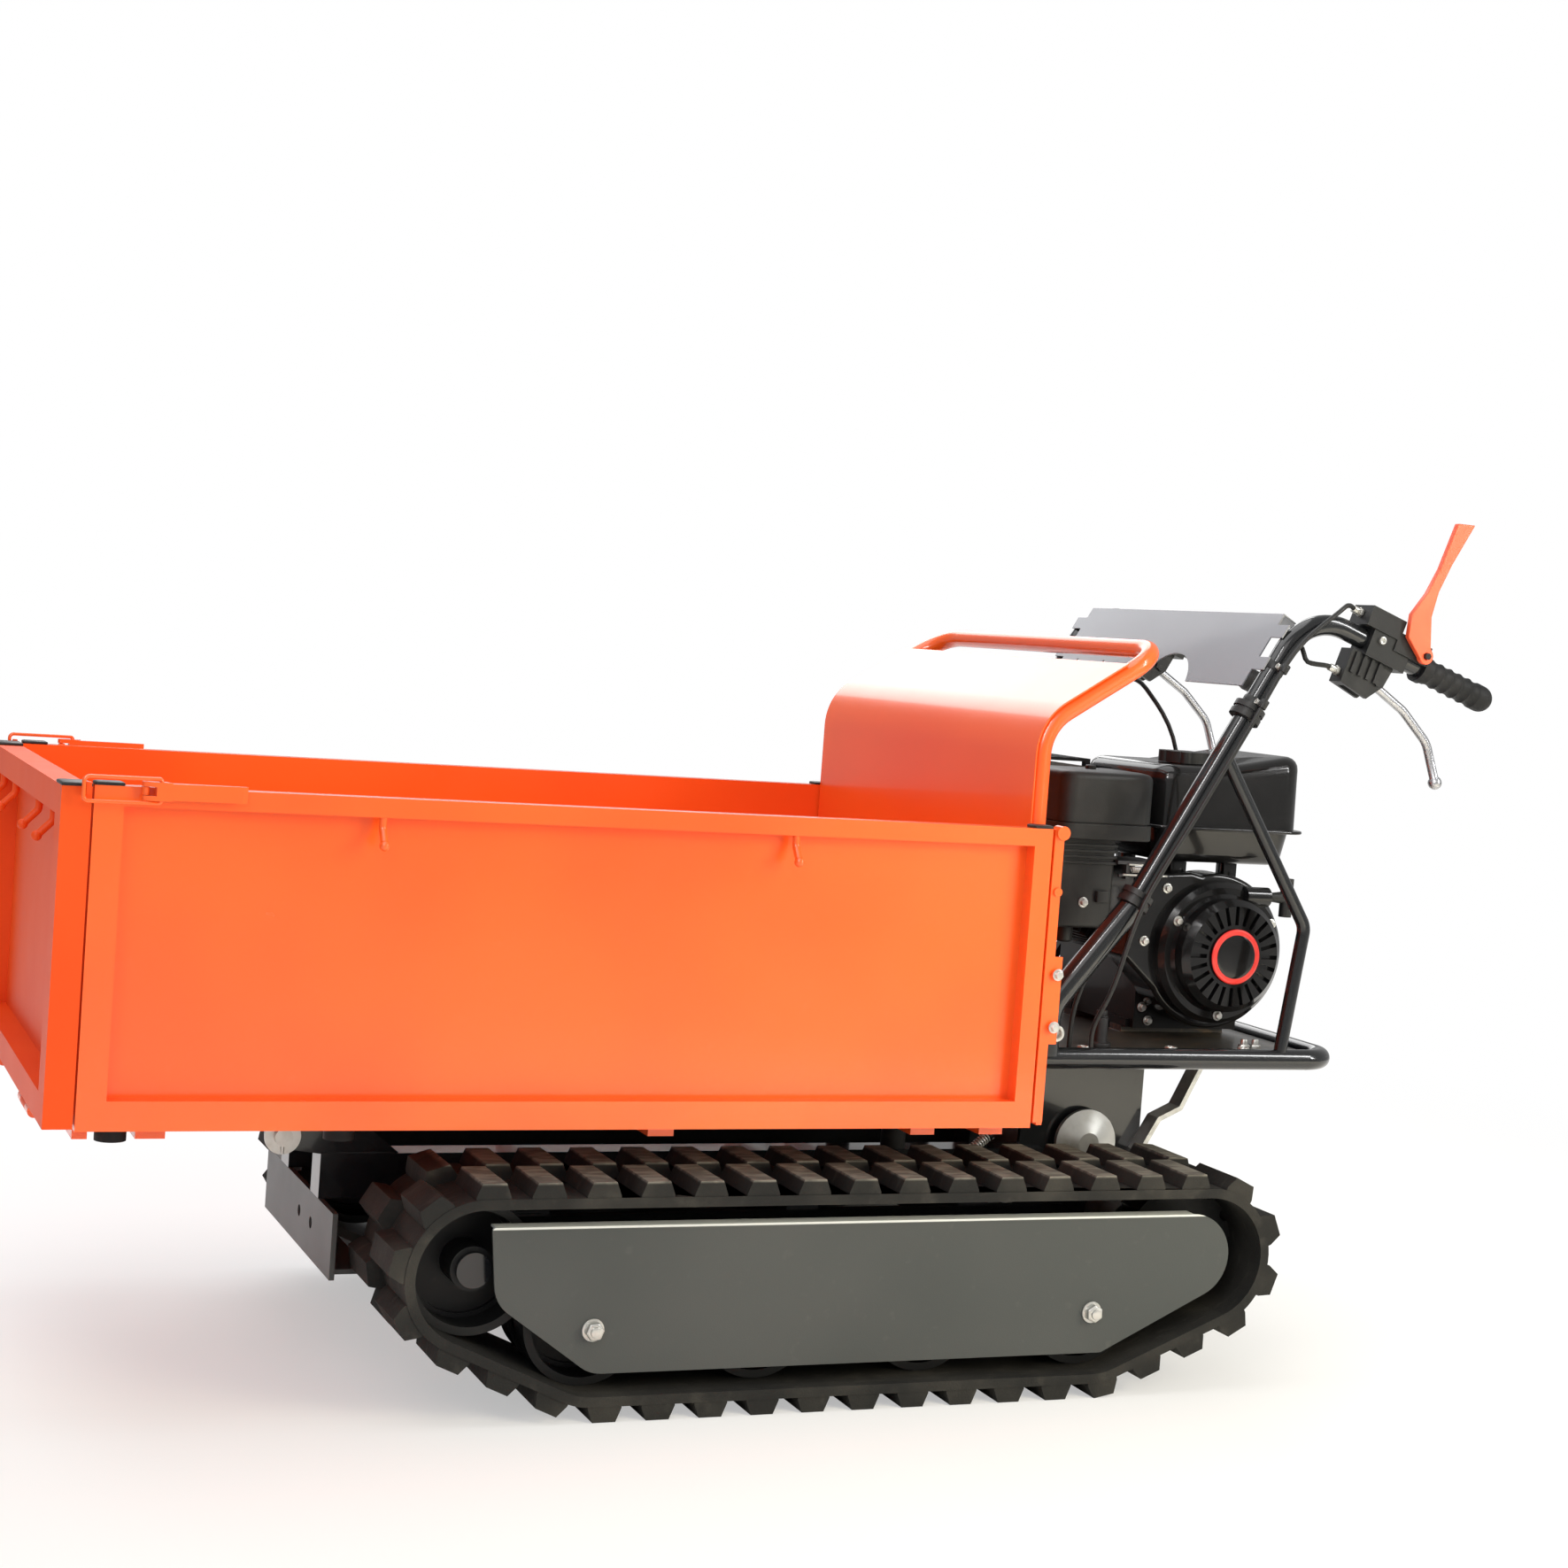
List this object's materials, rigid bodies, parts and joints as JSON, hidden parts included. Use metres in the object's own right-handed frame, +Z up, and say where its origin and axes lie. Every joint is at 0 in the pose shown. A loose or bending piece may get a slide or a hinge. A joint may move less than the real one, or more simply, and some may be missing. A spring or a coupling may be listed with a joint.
{
  "type": "tracked power carrier",
  "caption": "Walk-behind tracked mini dumper: tipping load bed with drop sides and tailgate on rubber tracks, engine on a rear deck, lever handlebars.",
  "frame": {"origin": "on the ground, under the middle of the whole machine", "axes": "+X towards the operator's end with the grips, +Y away from the side that carries the orange drive lever, +Z up"},
  "size_m": [1.7429, 0.686, 1.0466],
  "materials": {
    "orange_paint": "glossy powder coat",
    "anthracite_paint": "satin paint",
    "black_paint": "glossy paint",
    "track_rubber": "dusty matt rubber",
    "black_rubber": "matt rubber",
    "gloss_black": "glossy",
    "satin_black": "satin moulded plastic",
    "black_steel": "matt heat-proof paint",
    "zinc_steel": "zinc plated",
    "cast_alloy": "as cast",
    "dull_steel": "dull heat-stained steel",
    "polished_alloy": "polished",
    "orange_plastic": "moulded plastic"
  },
  "bodies": {
    "carrier": {"chassis_frame": "black_paint", "front_crossbeam": "anthracite_paint", "tip_hinge_pin": "zinc_steel", "bed_rest_pads": "black_rubber", "deck_plate": "anthracite_paint", "deck_rail": "black_paint", "fasteners": "zinc_steel", "gearbox_case": "cast_alloy", "gearbox_strap": "zinc_steel", "brake_spring": "zinc_steel", "handlebar_left": "black_paint", "handlebar_right": "black_paint", "console_panel": "anthracite_paint", "handle_grips": "black_rubber", "tube_collars": "satin_black", "lever_housings": "satin_black", "control_cables": "satin_black", "track_left": "track_rubber", "track_right": "track_rubber", "track_frames": "black_paint", "track_guards": "anthracite_paint", "drive_belt": "black_rubber", "engine_block": "cast_alloy", "fan_cover": "gloss_black", "recoil_cover": "gloss_black", "fuel_tank": "gloss_black", "air_cleaner": "satin_black", "carburettor": "cast_alloy", "muffler": "dull_steel", "muffler_guard": "black_steel"},
    "bed": {"bed_tray": "orange_paint", "bed_hoop": "orange_paint", "engine_guard": "orange_paint", "bed_feet": "black_rubber"},
    "side_left": {"side_panel_left": "orange_paint"},
    "side_right": {"side_panel_right": "orange_paint"},
    "gate": {"tailgate": "orange_paint"},
    "latch_lever_left_body": {"latch_lever_left": "orange_paint"},
    "latch_bail_left_body": {"latch_bail_left": "orange_paint"},
    "latch_lever_right_body": {"latch_lever_right": "orange_paint"},
    "latch_bail_right_body": {"latch_bail_right": "orange_paint"},
    "drive_lever_body": {"drive_lever": "orange_plastic"},
    "steering_lever_left_body": {"steering_lever_left": "polished_alloy"},
    "steering_lever_right_body": {"steering_lever_right": "polished_alloy"},
    "sprocket_left_body": {"sprocket_left": "anthracite_paint"},
    "idler_left_body": {"idler_left": "anthracite_paint"},
    "road_wheel_left_1_body": {"road_wheel_left_1": "anthracite_paint"},
    "road_wheel_left_2_body": {"road_wheel_left_2": "anthracite_paint"},
    "road_wheel_left_3_body": {"road_wheel_left_3": "anthracite_paint"},
    "road_wheel_left_4_body": {"road_wheel_left_4": "anthracite_paint"},
    "sprocket_right_body": {"sprocket_right": "anthracite_paint"},
    "idler_right_body": {"idler_right": "anthracite_paint"},
    "road_wheel_right_1_body": {"road_wheel_right_1": "anthracite_paint"},
    "road_wheel_right_2_body": {"road_wheel_right_2": "anthracite_paint"},
    "road_wheel_right_3_body": {"road_wheel_right_3": "anthracite_paint"},
    "road_wheel_right_4_body": {"road_wheel_right_4": "anthracite_paint"},
    "engine_shaft": {"engine_pulley": "cast_alloy"},
    "gearbox_shaft": {"gearbox_pulley": "zinc_steel"},
    "starter_handle": {"pull_handle": "satin_black"},
    "fuel_cap_body": {"fuel_cap": "satin_black"}
  },
  "joints": [
    {"name": "bed_tip", "type": "hinge", "parent": "carrier", "child": "bed", "pos_m": [-0.572, 0, 0.262], "axis": [0, -1, 0], "range_deg": [0, 60]},
    {"name": "tailgate_drop", "type": "hinge", "parent": "bed", "child": "gate", "pos_m": [-0.847, 0, 0.3065], "axis": [0, -1, 0], "range_deg": [0, 110]},
    {"name": "side_left_drop", "type": "hinge", "parent": "bed", "child": "side_left", "pos_m": [-0.2955, -0.2965, 0.319], "axis": [1, 0, 0], "range_deg": [0, 90]},
    {"name": "side_right_drop", "type": "hinge", "parent": "bed", "child": "side_right", "pos_m": [-0.2955, 0.2965, 0.319], "axis": [-1, 0, 0], "range_deg": [0, 90]},
    {"name": "latch_left_swing", "type": "hinge", "parent": "side_left", "child": "latch_lever_left_body", "pos_m": [-0.776, -0.3325, 0.65], "axis": [0, 0, -1], "range_deg": [0, 150]},
    {"name": "bail_left_swing", "type": "hinge", "parent": "latch_lever_left_body", "child": "latch_bail_left_body", "pos_m": [-0.762, -0.3384, 0.65], "axis": [0, 0, -1], "range_deg": [-150, 0]},
    {"name": "latch_right_swing", "type": "hinge", "parent": "side_right", "child": "latch_lever_right_body", "pos_m": [-0.776, 0.3325, 0.65], "axis": [0, 0, 1], "range_deg": [0, 150]},
    {"name": "bail_right_swing", "type": "hinge", "parent": "latch_lever_right_body", "child": "latch_bail_right_body", "pos_m": [-0.762, 0.3384, 0.65], "axis": [0, 0, 1], "range_deg": [-150, 0]},
    {"name": "drive_lever_press", "type": "hinge", "parent": "carrier", "child": "drive_lever_body", "pos_m": [0.75143, -0.2795, 0.88171], "axis": [0, 1, 0], "range_deg": [0, 70], "stiffness_Nm_per_rad": 1.5, "springref_deg": -17.19},
    {"name": "steer_left_squeeze", "type": "hinge", "parent": "carrier", "child": "steering_lever_left_body", "pos_m": [0.69414, -0.255, 0.84433], "axis": [0, -1, 0], "range_deg": [0, 25], "stiffness_Nm_per_rad": 2, "springref_deg": -17.19},
    {"name": "steer_right_squeeze", "type": "hinge", "parent": "carrier", "child": "steering_lever_right_body", "pos_m": [0.69414, 0.255, 0.84433], "axis": [0, -1, 0], "range_deg": [0, 25], "stiffness_Nm_per_rad": 2, "springref_deg": -17.19},
    {"name": "sprocket_left_spin", "type": "hinge", "parent": "carrier", "child": "sprocket_left_body", "pos_m": [0.474, -0.253, 0.159], "axis": [0, 1, 0], "continuous": true},
    {"name": "idler_left_spin", "type": "hinge", "parent": "carrier", "child": "idler_left_body", "pos_m": [-0.404, -0.253, 0.159], "axis": [0, 1, 0], "continuous": true},
    {"name": "road_wheel_left_1_spin", "type": "hinge", "parent": "carrier", "child": "road_wheel_left_1_body", "pos_m": [-0.275, -0.253, 0.097], "axis": [0, 1, 0], "continuous": true},
    {"name": "road_wheel_left_2_spin", "type": "hinge", "parent": "carrier", "child": "road_wheel_left_2_body", "pos_m": [-0.073, -0.253, 0.097], "axis": [0, 1, 0], "continuous": true},
    {"name": "road_wheel_left_3_spin", "type": "hinge", "parent": "carrier", "child": "road_wheel_left_3_body", "pos_m": [0.129, -0.253, 0.097], "axis": [0, 1, 0], "continuous": true},
    {"name": "road_wheel_left_4_spin", "type": "hinge", "parent": "carrier", "child": "road_wheel_left_4_body", "pos_m": [0.331, -0.253, 0.097], "axis": [0, 1, 0], "continuous": true},
    {"name": "sprocket_right_spin", "type": "hinge", "parent": "carrier", "child": "sprocket_right_body", "pos_m": [0.474, 0.253, 0.159], "axis": [0, 1, 0], "continuous": true},
    {"name": "idler_right_spin", "type": "hinge", "parent": "carrier", "child": "idler_right_body", "pos_m": [-0.404, 0.253, 0.159], "axis": [0, 1, 0], "continuous": true},
    {"name": "road_wheel_right_1_spin", "type": "hinge", "parent": "carrier", "child": "road_wheel_right_1_body", "pos_m": [-0.275, 0.253, 0.097], "axis": [0, 1, 0], "continuous": true},
    {"name": "road_wheel_right_2_spin", "type": "hinge", "parent": "carrier", "child": "road_wheel_right_2_body", "pos_m": [-0.073, 0.253, 0.097], "axis": [0, 1, 0], "continuous": true},
    {"name": "road_wheel_right_3_spin", "type": "hinge", "parent": "carrier", "child": "road_wheel_right_3_body", "pos_m": [0.129, 0.253, 0.097], "axis": [0, 1, 0], "continuous": true},
    {"name": "road_wheel_right_4_spin", "type": "hinge", "parent": "carrier", "child": "road_wheel_right_4_body", "pos_m": [0.331, 0.253, 0.097], "axis": [0, 1, 0], "continuous": true},
    {"name": "engine_shaft_spin", "type": "hinge", "parent": "carrier", "child": "engine_shaft", "pos_m": [0.57, 0.125, 0.497], "axis": [0, 1, 0], "continuous": true},
    {"name": "gearbox_shaft_spin", "type": "hinge", "parent": "carrier", "child": "gearbox_shaft", "pos_m": [0.436, 0.125, 0.247], "axis": [0, 1, 0], "continuous": true},
    {"name": "starter_pull", "type": "slide", "parent": "carrier", "child": "starter_handle", "axis": [1, 0, 0], "range_m": [0, 0.6], "stiffness_N_per_m": 20, "springref_m": -0.2},
    {"name": "fuel_cap_twist", "type": "hinge", "parent": "carrier", "child": "fuel_cap_body", "pos_m": [0.552, -0.075, 0.734], "axis": [0, 0, 1], "range_deg": [0, 90]}
  ],
  "couplings": [
    {"joint": "bail_left_swing", "follows": "latch_left_swing", "ratio": -1},
    {"joint": "bail_right_swing", "follows": "latch_right_swing", "ratio": -1},
    {"joint": "idler_left_spin", "follows": "sprocket_left_spin", "ratio": 1},
    {"joint": "road_wheel_left_1_spin", "follows": "sprocket_left_spin", "ratio": 1.0438},
    {"joint": "road_wheel_left_2_spin", "follows": "sprocket_left_spin", "ratio": 1.0438},
    {"joint": "road_wheel_left_3_spin", "follows": "sprocket_left_spin", "ratio": 1.0438},
    {"joint": "road_wheel_left_4_spin", "follows": "sprocket_left_spin", "ratio": 1.0438},
    {"joint": "idler_right_spin", "follows": "sprocket_right_spin", "ratio": 1},
    {"joint": "road_wheel_right_1_spin", "follows": "sprocket_right_spin", "ratio": 1.0438},
    {"joint": "road_wheel_right_2_spin", "follows": "sprocket_right_spin", "ratio": 1.0438},
    {"joint": "road_wheel_right_3_spin", "follows": "sprocket_right_spin", "ratio": 1.0438},
    {"joint": "road_wheel_right_4_spin", "follows": "sprocket_right_spin", "ratio": 1.0438},
    {"joint": "gearbox_shaft_spin", "follows": "engine_shaft_spin", "ratio": 0.61667}
  ]
}
